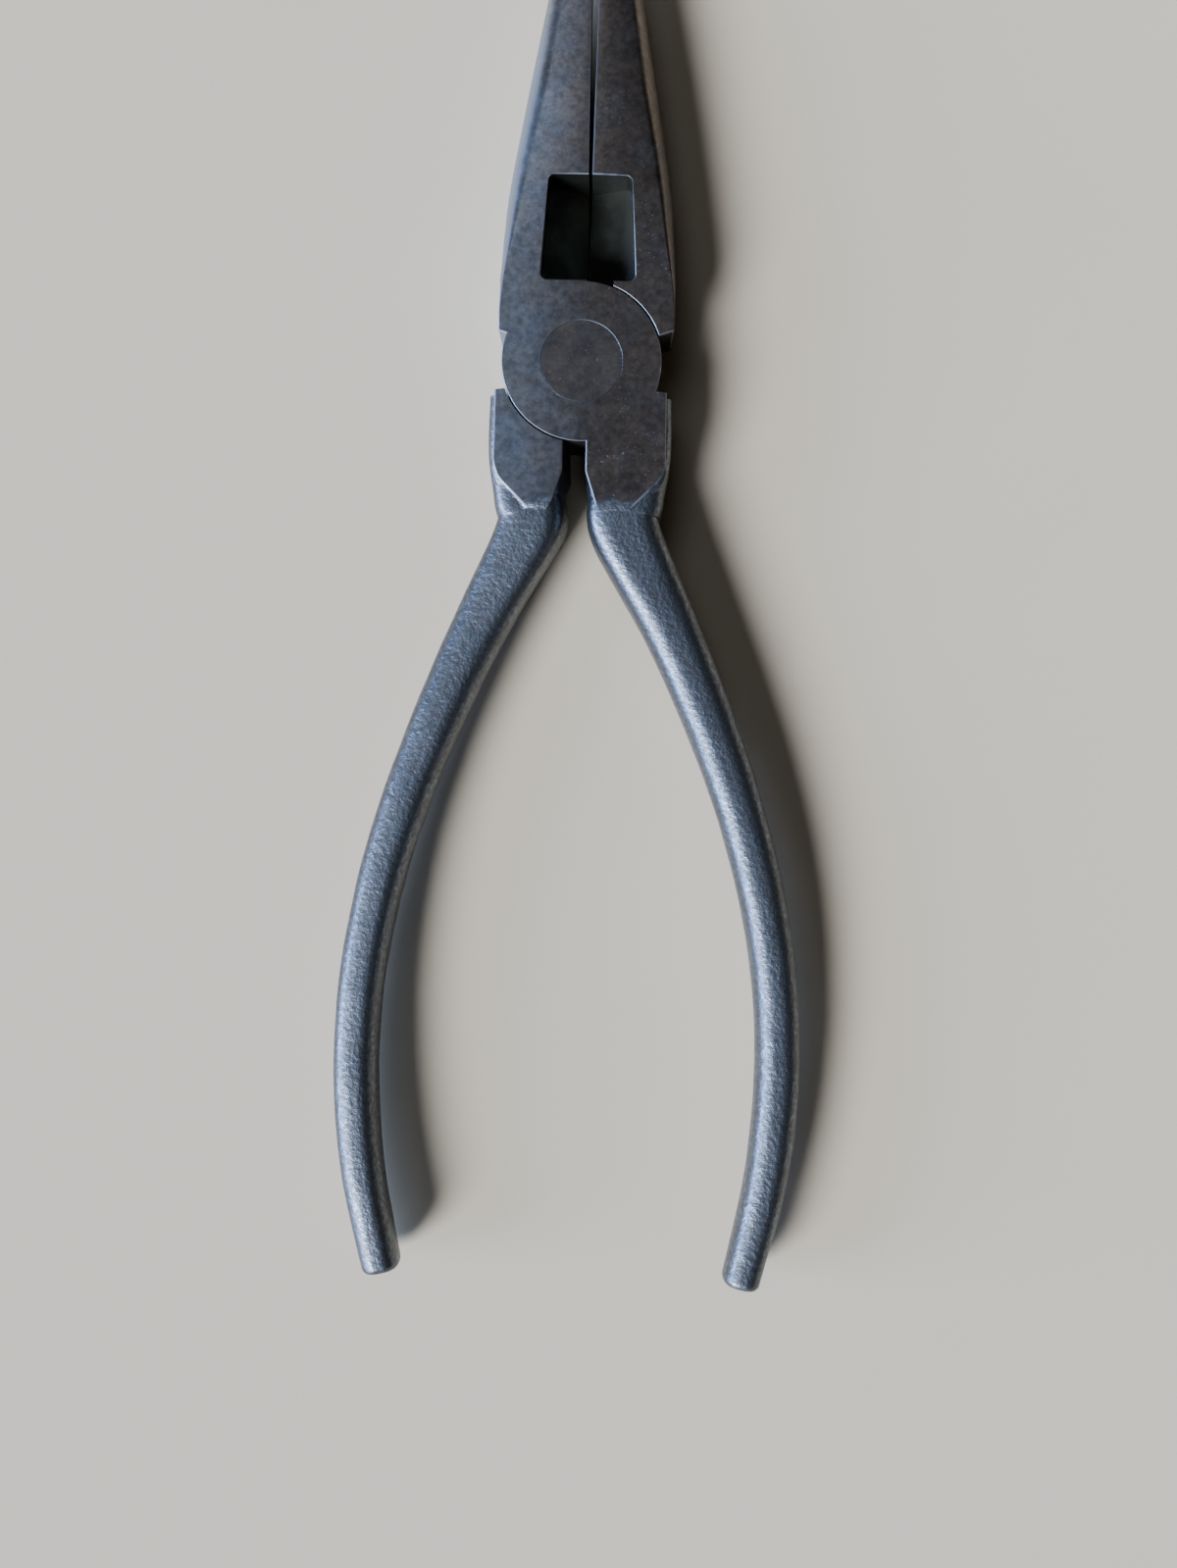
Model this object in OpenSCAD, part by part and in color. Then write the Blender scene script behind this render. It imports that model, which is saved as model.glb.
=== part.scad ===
// Long nose pliers with side cutting knives and bare forged handles.
// Two forged halves cross in a lap joint and turn on one flush rivet.
// The pliers lie flat: the jaws point along +Y, the rivet's axis is the Z axis,
// and the lower machined faces rest at z = 0.

/* [Joint] */
// Thickness of the joint, between the two machined faces
joint_t = 12.7; // [10:0.1:16]
// Radius of the round lap that each half turns on
lap_r = 11.75; // [10.8:0.05:12.3]
// Gap round a lap, to the hollow in the other half
lap_gap = 0.22; // [0.1:0.01:0.4]
// Gap between the two lap faces
face_gap = 0.04; // [0.02:0.01:0.1]
// Angle from the X axis to the faces that stop the opening
stop_angle = 19.6; // [15:0.1:24]
// Angle between the halves as the pliers lie, nearly closed
rest_angle = 0.95; // [0:0.05:8]

/* [Rivet] */
// Radius of the rivet's shank
rivet_r = 4.5; // [3:0.1:5.2]
// Radius of the rivet's flush heads
rivet_head_r = 6; // [5.4:0.05:7.5]
// Depth of each countersunk head
rivet_head_h = 2; // [1:0.1:3]
// Gap round the rivet in the half that turns on it
turning_gap = 0.04; // [0.02:0.01:0.08]
// Gap round the rivet in the half that holds it
seat_gap = 0.01; // [0.005:0.005:0.02]

/* [Jaws] */
// Distance from the rivet to the tips
jaw_reach = 76.5; // [66:0.5:90]
// Half width of the closed jaws beside the joint
jaw_half_w = 12.85; // [12.5:0.05:14]
// Half width of the closed jaws beside the top of the knives
neck_half_w = 11.9; // [10.5:0.05:12.8]
// Radius of the jaws' rounded sides beside the top of the knives
neck_r = 11.75; // [11:0.05:12.6]
// Radius of the rounded sides where the nose's straight taper begins
taper_r = 9.35; // [7:0.05:10.8]
// Distance from the rivet to where the nose's straight taper begins
taper_from = 41; // [36:0.5:48]
// Radius of the rounded nose at the tips
nose_r = 2.9; // [2.2:0.1:4]
// Radius that rounds off the tips
tip_r = 1.2; // [0.4:0.1:2]
// Thickness of the nose at the tips
nose_t = 5; // [3:0.1:7]
// Distance from the rivet at which the jaws begin to thin
thin_from = 40; // [30:0.5:50]
// Distance from the rivet at which the rounded sides run out
round_from = 9; // [6:0.5:14]
// Gap left between the two gripping faces when closed
grip_gap = 0.03; // [0.01:0.01:0.1]
// How far the line where the jaws meet lies to the right of the rivet
seam_x = 0.6; // [0:0.05:1.2]

/* [Teeth] */
// Distance from the rivet to the first tooth
teeth_from = 57; // [50:0.5:62]
// Distance between two teeth
tooth_pitch = 1.2; // [0.8:0.1:2.4]
// Depth of a tooth
tooth_depth = 0.35; // [0.1:0.05:0.6]

/* [Knives] */
// Length of the knives, which is the length of the window over them
knife_len = 15.5; // [12:0.1:19]
// Distance from the rivet to the lower end of the window
knife_from = 11.95; // [11.6:0.05:12.8]
// Half width of the window at its lower end
window_low_w = 6.85; // [5:0.05:8]
// Half width of the window at its upper end
window_top_w = 6; // [4:0.05:7.5]
// Radius of the window's corners
window_r = 1; // [0.4:0.1:2]
// Height of the cutting edges over the rest face
edge_z = 2.3; // [1.2:0.1:4]
// Height at which the knives' bevels meet the window's walls
bevel_z = 6.8; // [5:0.1:8]
// Half width of the ground bevel under the knives
under_bevel_w = 2; // [1:0.1:3]
// Distance from the seam to the hooks at the window's lower end
hook_x = 3.7; // [2:0.1:5]

/* [Shoulders] */
// Half width over the machined shoulders
shoulder_w = 12.6; // [12.2:0.05:13.6]
// Distance from the rivet to where the shoulders begin to narrow
shoulder_from = 14.2; // [12:0.1:16]
// Distance from the rivet to the lower end of the machined faces
shoulder_len = 20.9; // [18:0.1:24]
// Radius of a shoulder's outer corner
shoulder_r = 5; // [3:0.1:5.5]
// Angle through which the outer corner turns
shoulder_turn = 46; // [30:1:55]
// How far the forged flanks stand out past the machined faces
flank = 0.8; // [0.4:0.05:1.2]
// How far the forged flanks lie below the machined faces
face_step = 0.25; // [0.1:0.05:0.5]
// Width of the slot between the handles
slot_w = 3.2; // [2.4:0.1:5]
// How far the slot lies to the left of the rivet
slot_x = 0.8; // [0:0.05:1.2]
// Distance from the rivet to where the slot begins to widen
slot_len = 16.2; // [14:0.1:17.5]
// How much wider each side of the slot is where the faces end
slot_flare = 1.5; // [0.5:0.1:2.5]

/* [Handles] */
// Distance from the rivet to the end of the right handle
handle_reach = 137; // [120:1:160]
// How much shorter the left handle is
short_by = 1.2; // [0:0.1:4]
// Distance from the rivet to the handles' widest bow
bow_from = 102.75; // [90:0.25:115]
// Distance from the middle of the tool to a handle's centre at the bow
handle_bow = 30.7; // [24:0.1:38]
// Distance from the middle of the tool to a handle's centre at the neck
neck_x = 7.6; // [7:0.05:8.5]
// Distance from the end of the machined faces to the neck
neck_len = 3.9; // [2:0.1:6]
// Thickness of a handle at its middle
handle_t = 9.5; // [7:0.1:12]
// Thickness of a handle at its end
handle_end_t = 8.6; // [6:0.1:11]
// Half width of a handle at the neck
neck_w = 4.55; // [3.5:0.05:5.2]
// Half width of a handle at its bow
handle_w = 3.4; // [2.8:0.05:4.6]
// Half width of a handle at its end
handle_end_w = 2.9; // [2.2:0.05:4.2]
// Radius that rounds off a handle's end
end_r = 1.1; // [0.4:0.1:2]
// Squareness of a handle's section, where 2 is an ellipse
handle_square = 2.8; // [2.2:0.1:5]

/* [Hidden] */

steel_blue = "#34383f";
steel_brown = "#3a3836";
rivet_grey = "#4a4a4c";

mid_z = joint_t / 2;
lap_z = mid_z + face_gap / 2;
past = 1;
bore_fn = 96;
lap_fn = 160;

// Jaws
knife_to = knife_from + knife_len;
hook_land = 0.05;
side_r = norm([jaw_half_w, mid_z]);

// Teeth
groove_share = 0.45;
tooth_count = floor((jaw_reach - tip_r - teeth_from) / tooth_pitch);

// Shoulders
stop_in_r = lap_r - 3;
corner_steps = 8;
shoulder_corner = [shoulder_w - shoulder_r, -shoulder_from];
flank_outer = shoulder_w + flank;
flank_start = flank_outer * tan(stop_angle) + 0.5;
flank_square = 7;
flank_turn = 0.8;
foot_rise = 1.2;
foot_shift = 0.1;
foot_narrow = 0.8;
foot_sink = 0.15;
foot_square = 5;

// Handles
neck_y = -(shoulder_len + neck_len);
bow_len = neck_y + bow_from;
end_at = (neck_y + handle_reach - end_r) / bow_len;
neck_square = 4;
ring_points = 24;
spans = 8;
rings_per_span = 5;
end_steps = 4;

// Point on an arc round c.
function on_arc(c, r, a) = [c[0] + r * cos(a), c[1] + r * sin(a)];

function arc(c, r, a0, a1, steps) =
    [for (i = [0 : steps]) on_arc(c, r, a0 + (a1 - a0) * i / steps)];

// Value between p1 and p2 on a smooth curve that also passes p0 and p3.
function smooth(p0, p1, p2, p3, t) =
    0.5 * (2 * p1 + (p2 - p0) * t
        + (2 * p0 - 5 * p1 + 4 * p2 - p3) * t * t
        + (3 * p1 - p0 - 3 * p2 + p3) * t * t * t);

function at_end(list, i) = list[max(0, min(len(list) - 1, i))];

function spline(list, steps) = [
    for (i = [0 : len(list) - 2])
    for (k = [0 : (i == len(list) - 2 ? steps : steps - 1)])
        smooth(at_end(list, i - 1), list[i], list[i + 1], at_end(list, i + 2), k / steps)
];

function signed_pow(v, p) = sign(v) * pow(abs(v), p);

// Ring of a handle: a rounded rectangle across the handle's own direction.
function ring(station, across) = [
    for (j = [0 : ring_points - 1])
        let (a = 360 * (j + 0.5) / ring_points,
             u = station[2] * signed_pow(cos(a), 2 / station[4]),
             v = station[3] * signed_pow(sin(a), 2 / station[4]))
        [station[0] + across[0] * u, station[1] + across[1] * u, mid_z + v]
];

function direction(path, i) =
    let (d = at_end(path, i + 1) - at_end(path, i - 1), f = [d[0], d[1]])
    f / norm(f);

// Rings that draw in at the handle's end, so that its edge is rounded.
function end_rings(station, along) = [
    for (k = [1 : end_steps])
        let (a = 90 * k / end_steps, s = end_r * (1 - cos(a)))
        ring([station[0] + along[0] * end_r * sin(a),
              station[1] + along[1] * end_r * sin(a),
              station[2] - s, station[3] - s, station[4]],
             [-along[1], along[0]])
];

// Distance from the rivet's middle line to a shoulder's wall of the slot.
// The side is 1 for the half with the upper lap and -1 for the half that is turned over.
function slot_wall(side) = slot_w / 2 - side * slot_x;

// A handle's cross section at t, where 0 is the neck and 1 is the widest bow.
// Its centre follows a sine bow. A station is [x, y, half width, half thickness, squareness].
function handle_station(side, t) =
    let (to_bow = pow(max(0, 1 - t), 2),
         to_end = pow(max(0, t - 1) / (end_at - 1), 2),
         from_neck = pow(max(0, 1 - t), 8),
         wider = side * slot_x / 2 * from_neck)
    [neck_x - wider + (handle_bow - neck_x) * sin(90 * t),
     neck_y - bow_len * t,
     handle_w + wider + (neck_w - handle_w) * to_bow + (handle_end_w - handle_w) * to_end,
     (handle_t + (joint_t - handle_t) * from_neck / 2 + (handle_end_t - handle_t) * to_end) / 2,
     handle_square + (neck_square - handle_square) * from_neck];

// Cross sections of the forged flanks beside the joint, from the stop to the neck.
function flank_stations(side) =
    let (middle = (flank_outer + slot_wall(side)) / 2,
         half = (flank_outer - slot_wall(side)) / 2,
         deep = mid_z - face_step)
    [[middle, -flank_start, half, deep, flank_square],
     [middle, -shoulder_from + flank_turn, half, deep, flank_square],
     [middle - foot_shift, -shoulder_len + foot_rise, half - foot_narrow, deep - foot_sink, foot_square]];

module loft(rings) {
    n = len(rings[0]);
    last = len(rings) - 1;
    points = [for (r = rings) for (p = r) p];
    sides = [
        for (i = [0 : last - 1]) for (j = [0 : n - 1])
        for (f = [[i * n + j, (i + 1) * n + j, i * n + (j + 1) % n],
                  [i * n + (j + 1) % n, (i + 1) * n + j, (i + 1) * n + (j + 1) % n]]) f
    ];
    polyhedron(points, concat(
        sides,
        [[for (j = [0 : n - 1]) j]],
        [[for (j = [n - 1 : -1 : 0]) last * n + j]]), convexity = 6);
}

// Forged handle of the half with the left jaw, on the right of the tool.
module handle(side) {
    last = end_at - (side < 0 ? short_by / bow_len : 0);
    stations = concat(flank_stations(side),
                      [for (i = [0 : spans]) handle_station(side, last * i / spans)]);
    path = spline(stations, rings_per_span);
    along = direction(path, len(path) - 1);
    body = [for (i = [0 : len(path) - 1])
        let (d = direction(path, i)) ring(path[i], [-d[1], d[0]])];
    loft(concat(body, end_rings(path[len(path) - 1], along)));
}

// Machined shoulder: the flat faces between the joint and the handle's neck.
module shoulder(side) {
    wall = slot_wall(side);
    stop_top = on_arc([0, 0], shoulder_w / cos(stop_angle), -stop_angle);
    corner = arc(shoulder_corner, shoulder_r, 0, -shoulder_turn, corner_steps);
    corner_end = corner[corner_steps];
    face_end_x = corner_end[0] - (corner_end[1] + shoulder_len) * tan(shoulder_turn);
    outline = concat(
        [on_arc([0, 0], stop_in_r, -stop_angle), stop_top],
        corner,
        [[face_end_x, -shoulder_len], [wall + slot_flare, -shoulder_len],
         [wall, -slot_len], [wall, -stop_in_r]]);
    linear_extrude(joint_t) polygon(outline);
}

// Moves what is made along the rivet's middle line to where the jaws meet.
module at_seam(side) {
    translate([side * seam_x, 0, 0]) children();
}

// Side view of the jaws: parallel at the joint, thin at the tips.
module jaw_side_view() {
    rotate([90, 0, -90])
        linear_extrude(jaw_half_w + past)
            polygon([[past, 0], [-thin_from, 0],
                     [-jaw_reach - past, mid_z - nose_t / 2],
                     [-jaw_reach - past, mid_z + nose_t / 2],
                     [-thin_from, joint_t], [past, joint_t]]);
}

// Round sides of the nose, turned about the line where the jaws meet.
module nose_round() {
    translate([0, 0, mid_z])
        rotate([-90, 0, 0])
            rotate_extrude($fn = lap_fn)
                polygon([[0, 0], [side_r + past, 0],
                         [side_r, round_from], [neck_r, knife_to],
                         [taper_r, taper_from],
                         [nose_r, jaw_reach - tip_r],
                         [nose_r - tip_r, jaw_reach], [0, jaw_reach]]);
}

// Plan view of the left jaw, up to the line where the jaws meet.
module jaw_plan() {
    linear_extrude(joint_t)
        polygon([[-grip_gap / 2, 0], [-jaw_half_w, 0], [-jaw_half_w, knife_from],
                 [-neck_half_w, knife_to], [-neck_half_w, jaw_reach],
                 [-grip_gap / 2, jaw_reach]]);
}

module teeth() {
    for (i = [0 : tooth_count - 1])
        translate([-grip_gap / 2, teeth_from + i * tooth_pitch, -past])
            linear_extrude(joint_t + 2 * past)
                polygon([[past, -tooth_pitch], [0, -tooth_pitch * groove_share],
                         [-tooth_depth, 0], [0, tooth_pitch * groove_share],
                         [past, tooth_pitch]]);
}

// What lies over the face that stops the opening.
module over_stop() {
    rotate([0, 0, -stop_angle])
        translate([-jaw_reach, 0, -past])
            cube([2 * jaw_reach, 2 * jaw_reach, joint_t + 2 * past]);
}

module left_jaw(side) {
    intersection() {
        over_stop();
        at_seam(side)
            difference() {
                intersection() {
                    jaw_plan();
                    jaw_side_view();
                    nose_round();
                }
                teeth();
            }
    }
}

// One forged half before its knife is ground: left jaw, upper lap, right handle.
module forged_half(side) {
    difference() {
        union() {
            left_jaw(side);
            shoulder(side);
            handle(side);
        }
        translate([0, 0, -past])
            cylinder(r = lap_r + lap_gap, h = lap_z + past, $fn = lap_fn);
        at_seam(side)
            translate([-hook_x, lap_r - past, -past])
                cube([hook_x + past, knife_from + hook_land - lap_r + past, lap_z + past]);
    }
    translate([0, 0, lap_z])
        cylinder(r = lap_r, h = joint_t - lap_z, $fn = lap_fn);
}

// Window over the knives, seen from above, with a rounded upper corner.
module window_plan() {
    top_c = [window_top_w - window_r, knife_to - window_r];
    low_c = [window_low_w - window_r, knife_from + window_r];
    linear_extrude(joint_t + past)
        polygon(concat(
            [[-past, knife_from]],
            arc(low_c, window_r, -90, 0, corner_steps),
            arc(top_c, window_r, 0, 90, corner_steps),
            [[-past, knife_to]]));
}

// What grinding takes from a jaw: the window down to the knife's bevel.
module window_cut() {
    bevel_slope = (bevel_z - edge_z) / window_low_w;
    reach = window_low_w + past;
    intersection() {
        window_plan();
        translate([0, knife_to + past, 0])
            rotate([90, 0, 0])
                linear_extrude(knife_len + 2 * past)
                    polygon([[-past, edge_z - past * bevel_slope],
                             [reach, edge_z + reach * bevel_slope],
                             [reach, joint_t + past], [-past, joint_t + past]]);
    }
}

// Bevel under the knife, which leaves the edge at edge_z.
module under_cut() {
    slope = edge_z / under_bevel_w;
    translate([0, knife_to, 0])
        rotate([90, 0, 0])
            linear_extrude(knife_len + lap_gap)
                polygon([[-past, -past], [under_bevel_w + past / slope, -past],
                         [0, edge_z], [-past, edge_z]]);
}

// Bore for the rivet's shank and the seats for its heads.
module rivet_bore(gap) {
    translate([0, 0, -past])
        cylinder(r = rivet_r + gap, h = joint_t + 2 * past, $fn = bore_fn);
    for (side = [-1, 1])
        translate([0, 0, mid_z])
            scale([1, 1, side])
                translate([0, 0, mid_z - rivet_head_h])
                    cylinder(r1 = rivet_r + gap, r2 = rivet_head_r + gap, h = rivet_head_h, $fn = bore_fn);
}

// The half with the left jaw and the right handle. Its lap lies on top.
module left_jaw_half() {
    color(steel_blue)
        rotate([0, 0, rest_angle / 2])
            difference() {
                forged_half(1);
                at_seam(1) mirror([1, 0, 0]) window_cut();
                at_seam(1) mirror([1, 0, 0]) under_cut();
                rivet_bore(seat_gap);
            }
}

// The same forging turned over: right jaw, lower lap, left handle.
module right_jaw_half() {
    color(steel_brown)
        rotate([0, 0, -rest_angle / 2])
            difference() {
                translate([0, 0, joint_t]) rotate([0, 180, 0]) forged_half(-1);
                at_seam(1) window_cut();
                at_seam(1) under_cut();
                rivet_bore(turning_gap);
            }
}

// Rivet with two countersunk heads, ground flush with the faces.
module pivot_rivet() {
    color(rivet_grey)
        rotate_extrude($fn = bore_fn)
            polygon([[0, 0], [rivet_head_r, 0], [rivet_r, rivet_head_h],
                     [rivet_r, joint_t - rivet_head_h], [rivet_head_r, joint_t], [0, joint_t]]);
}

left_jaw_half();
right_jaw_half();
pivot_rivet();
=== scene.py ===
"""Long nose pliers with side cutting knives and bare forged handles.

Both halves come from one forging. The upper half is that forging as it is, and the
lower half is the same forging turned over. They are modelled closed, in millimetres,
and then turned to the pose in which the pliers lie and scaled to metres.
"""

import math
from types import SimpleNamespace

import bmesh
import bpy
from mathutils import Matrix, Vector, noise


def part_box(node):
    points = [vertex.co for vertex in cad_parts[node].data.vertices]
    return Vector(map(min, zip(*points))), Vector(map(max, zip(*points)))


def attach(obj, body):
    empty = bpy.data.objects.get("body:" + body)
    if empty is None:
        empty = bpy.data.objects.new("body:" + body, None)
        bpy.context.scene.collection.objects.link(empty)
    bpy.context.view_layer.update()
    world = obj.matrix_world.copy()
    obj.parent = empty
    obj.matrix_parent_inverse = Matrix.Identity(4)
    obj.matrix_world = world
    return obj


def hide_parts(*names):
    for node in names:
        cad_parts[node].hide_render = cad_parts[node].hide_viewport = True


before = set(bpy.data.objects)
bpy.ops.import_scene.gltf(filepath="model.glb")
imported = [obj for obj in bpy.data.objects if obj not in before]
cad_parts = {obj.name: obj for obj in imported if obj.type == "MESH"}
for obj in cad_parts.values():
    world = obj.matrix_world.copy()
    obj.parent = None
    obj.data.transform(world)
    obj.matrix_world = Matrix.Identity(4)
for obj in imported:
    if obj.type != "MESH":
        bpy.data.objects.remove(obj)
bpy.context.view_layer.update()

bl_info = {
    "name": "Long nose pliers",
    "version": (1, 0, 0),
    "blender": (4, 5, 0),
    "location": "3D View > Sidebar > Pliers",
    "description": "Builds long nose pliers on their packed frame, with finishes, floor and light",
    "category": "Object",
}

METRE = 0.001

# Width and height of the photograph, in pixels.
PHOTO_W, PHOTO_H = 1200, 1599

# Half the side of the floor, in metres. Its edge is far off in every view.
FLOOR_HALF = 60.0

# Steps round a lap, round its hollow and round the rivet. A lap and its hollow differ, so
# that no edge of one meets an edge of the other.
LAP_STEPS, HOLLOW_STEPS, RIVET_STEPS = 160, 149, 128

# Points round a handle, and sections between two of its stations.
HANDLE_POINTS, HANDLE_STEPS = 64, 28

# Parts of a handle's length and of its rounded end.
BOW_STEPS, END_STEPS = 8, 6

# Parts of a jaw's length below the teeth and of its rounded tip.
JAW_STEPS, TIP_STEPS = 72, 5

# Parts of a round corner of a shoulder and of the window.
CORNER_STEPS, WINDOW_STEPS = 10, 8

# Millimetres by which a cutting tool reaches past what it cuts.
PAST = 1.0

# Squareness of a handle's section, and what its neck adds to that. 2 is an ellipse.
HANDLE_SQUARE, NECK_SQUARER = 2.8, 1.6

# How far a neck fills up from a handle's thickness to that of the joint.
NECK_FILL = 0.82

# Reach in millimetres over which the tapers of the jaws run into each other.
TAPER_EASE = 3.0

# Width in millimetres of the softened outer edge of the jaws, at the top of the knives and at
# the tips. The upper half's jaw is worn more than the turned half's.
JAW_SOFT = {1: (1.4, 0.8), -1: (0.7, 0.5)}

# Edges that turn by more than this many degrees stay sharp.
CREASE = 28

# Finishes of a forged half, in the order of its material slots.
GROUND, FORGED, KNIFE, WORN = range(4)

HALF_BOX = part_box("left_jaw_half")
RIVET_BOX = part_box("pivot_rivet")
JOINT_T = HALF_BOX[1].z
REACH_UP = HALF_BOX[1].y


def length(name, description, millimetres):
    """A length that a user may change, kept in metres."""
    return bpy.props.FloatProperty(
        name=name, description=description, default=millimetres * METRE, min=0.0,
        unit="LENGTH", subtype="DISTANCE", precision=5)


def angle(name, description, degrees):
    return bpy.props.FloatProperty(
        name=name, description=description, default=math.radians(degrees),
        unit="ROTATION", subtype="ANGLE")


def strength(name, description, watts):
    """Strength of a distant light, in watts a square metre."""
    return bpy.props.FloatProperty(name=name, description=description, default=watts, min=0.0)


def share(name, description, default, top=1.0):
    return bpy.props.FloatProperty(
        name=name, description=description, default=default, min=0.0, max=top,
        subtype="FACTOR")


def linear(hex_colour):
    """Turns an sRGB hex colour such as "#34383f" to linear red, green and blue."""
    parts = [int(hex_colour[i:i + 2], 16) / 255 for i in (1, 3, 5)]
    return tuple(c / 12.92 if c <= 0.04045 else ((c + 0.055) / 1.055) ** 2.4 for c in parts)


def colour(name, description, hex_colour):
    return bpy.props.FloatVectorProperty(
        name=name, description=description, default=linear(hex_colour), size=3,
        min=0.0, max=1.0, subtype="COLOR")


class PliersSizes(bpy.types.PropertyGroup):
    """Sizes of the forging and of what is ground, milled and riveted on it."""

    joint_t: length("Joint thickness", "Between the two ground faces", JOINT_T / METRE)
    lap_r: length("Lap radius", "Round lap that each half turns on", 11.75)
    lap_gap: length("Lap gap", "Gap round a lap, to the hollow in the other half", 0.22)
    face_gap: length("Face gap", "Gap between the two lap faces", 0.04)
    stop_angle: angle("Stop angle", "From the X axis to the faces that stop the opening", 19.6)
    rest_angle: angle("Rest angle", "Between the halves as the pliers lie", 0.95)
    edge: length("Broken edge", "Width of the broken edges round the ground faces", 0.16)

    rivet_r: length("Rivet radius", "Radius of the rivet's shank", 4.5)
    rivet_head_r: length("Rivet head radius", "Radius of the flush heads", RIVET_BOX[1].x / METRE)
    rivet_head_h: length("Rivet head depth", "Depth of each countersunk head", 2.0)
    rivet_edge: length("Rivet edge", "Broken edge round a rivet head", 0.07)
    turning_gap: length("Turning gap", "Gap round the rivet in the half that turns", 0.04)
    seat_gap: length("Seat gap", "Gap round the rivet in the half that holds it", 0.01)

    jaw_reach: length("Jaw reach", "From the rivet to the tips", REACH_UP / METRE)
    jaw_half_w: length("Jaw half width", "Half width of the closed jaws at the joint", 12.85)
    neck_half_w: length("Neck half width", "Half width beside the top of the knives", 11.9)
    side_from: length("Side start", "Height over the rivet where the jaws' sides draw in", 11.95)
    round_from: length("Round start", "Height where the rounded sides run out", 9.0)
    neck_r: length("Neck radius", "Radius of the rounded sides at the top of the knives", 11.75)
    taper_r: length("Taper radius", "Radius where the nose's straight taper begins", 9.35)
    taper_from: length("Taper start", "Height where the nose's straight taper begins", 41.0)
    nose_r: length("Nose radius", "Radius of the rounded nose at the tips", 2.9)
    tip_r: length("Tip radius", "Radius that rounds off the tips", 1.2)
    nose_t: length("Nose thickness", "Thickness of the nose at the tips", 5.0)
    thin_from: length("Thinning start", "Height at which the jaws begin to thin", 40.0)
    crown: length("Crown", "How far hand grinding rolls a jaw's face off to its side", 0.5)
    grip_gap: length("Grip gap", "Gap between the closed gripping faces", 0.03)
    seam_x: length("Seam place", "How far the seam lies to the right of the rivet", 0.6)
    seam_lean: angle("Seam lean", "How far the closed jaws lean to the right", 0.3)

    teeth_from: length("Teeth start", "Height of the first tooth", 57.0)
    tooth_pitch: length("Tooth pitch", "Distance between two teeth", 1.2)
    tooth_depth: length("Tooth depth", "Depth of a tooth", 0.35)

    knife_len: length("Knife length", "Length of the knives and of the window over them", 15.5)
    window_low_w: length("Window low width", "Half width of the window at its lower end", 6.85)
    window_top_w: length("Window top width", "Half width of the window at its upper end", 6.0)
    window_r: length("Window corner", "Radius of the window's corners", 1.0)
    edge_z: length("Edge height", "Height of the cutting edges over the rest face", 2.3)
    bevel_z: length("Bevel height", "Height at which a knife's bevel meets the wall", 6.8)
    under_bevel_w: length("Under bevel", "Half width of the bevel under the knives", 2.0)
    hook_x: length("Hook", "From the seam to the hooks at the window's lower end", 3.7)

    shoulder_w: length("Shoulder width", "Half width over the ground shoulders", 12.6)
    shoulder_from: length("Shoulder start", "Where the shoulders begin to narrow", 14.2)
    shoulder_len: length("Shoulder length", "From the rivet to the end of the ground faces", 20.9)
    shoulder_r: length("Shoulder corner", "Radius of a shoulder's outer corner", 5.0)
    shoulder_turn: angle("Shoulder turn", "Angle through which the outer corner turns", 46.0)
    flank: length("Flank", "How far the forged flanks stand out past the faces", 0.8)
    face_step: length("Face step", "How far the forged flanks lie below the faces", 0.25)
    slot_w: length("Slot width", "Slot between the handles", 3.2)
    slot_x: length("Slot place", "How far the slot lies to the left of the rivet", 0.8)
    slot_len: length("Slot length", "From the rivet to where the slot begins to widen", 16.2)
    slot_flare: length("Slot flare", "Widening of each side of the slot at its end", 1.5)
    slot_draft: length("Slot draft", "Slant of the turned half's side of the slot", 1.2)

    handle_reach: length("Handle reach", "From the rivet to the right handle's end", 137.0)
    short_by: length("Shorter left handle", "How much shorter the left handle is", 1.2)
    bow_from: length("Bow height", "From the rivet to the handles' widest bow", 102.75)
    handle_bow: length("Bow", "From the middle of the tool to a handle at its bow", 30.7)
    neck_x: length("Neck place", "From the middle of the tool to a handle at its neck", 7.6)
    neck_len: length("Neck length", "From the end of the faces to the neck", 3.9)
    handle_t: length("Handle thickness", "Thickness of a handle at its middle", 9.5)
    handle_end_t: length("End thickness", "Thickness of a handle at its end", 8.6)
    neck_w: length("Neck width", "Half width of a handle at the neck", 4.55)
    root_up: length("Upper root", "How much wider the right handle is at its neck", 1.2)
    root_under: length("Lower root", "How much wider the left handle is at its neck", 0.4)
    handle_w: length("Handle width", "Half width of a handle at its bow", 3.4)
    handle_end_w: length("End width", "Half width of a handle at its end", 2.9)
    end_r: length("End radius", "Radius that rounds off a handle's end", 1.1)
    hammer_depth: length("Hammer depth", "Depth of the forging's shallow waves", 0.14)
    hammer_pitch: length("Hammer pitch", "Length of the forging's shallow waves", 7.0)


class PliersFinish(bpy.types.PropertyGroup):
    """Colours and wear of the steel."""

    blue_steel: colour("Blued steel", "Ground tool steel after bluing", "#777a7d")
    # Aged brown steel, and on the ground faces also painted shade: darker on the right.
    brown_steel: colour("Aged steel", "Where the bluing has gone brown", "#5a524b")
    scale: colour("Forging scale", "Dark oxide left in the grain of the forging", "#5a5a5b")
    scale_worn: colour("Handled scale", "Scale polished by hands", "#7b858e")
    bare_steel: colour("Bare steel", "Where the bluing has worn through", "#8a8d92")
    # Painted highlight: the left side of the jaws made lighter where it faces the light.
    painted_side_highlight: colour("Bright side", "Side of the jaws, rubbed bright", "#8c98ab")
    knife_steel: colour("Knife steel", "Oiled ground steel inside the window", "#54534a")
    rivet_steel: colour("Rivet steel", "Ground rivet heads", "#5b5652")
    wear: share("Wear", "How much of the broken edges is worn bright", 0.45)
    grain: length("Grain", "Width of one grain of the forged surface", 0.36)


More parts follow.
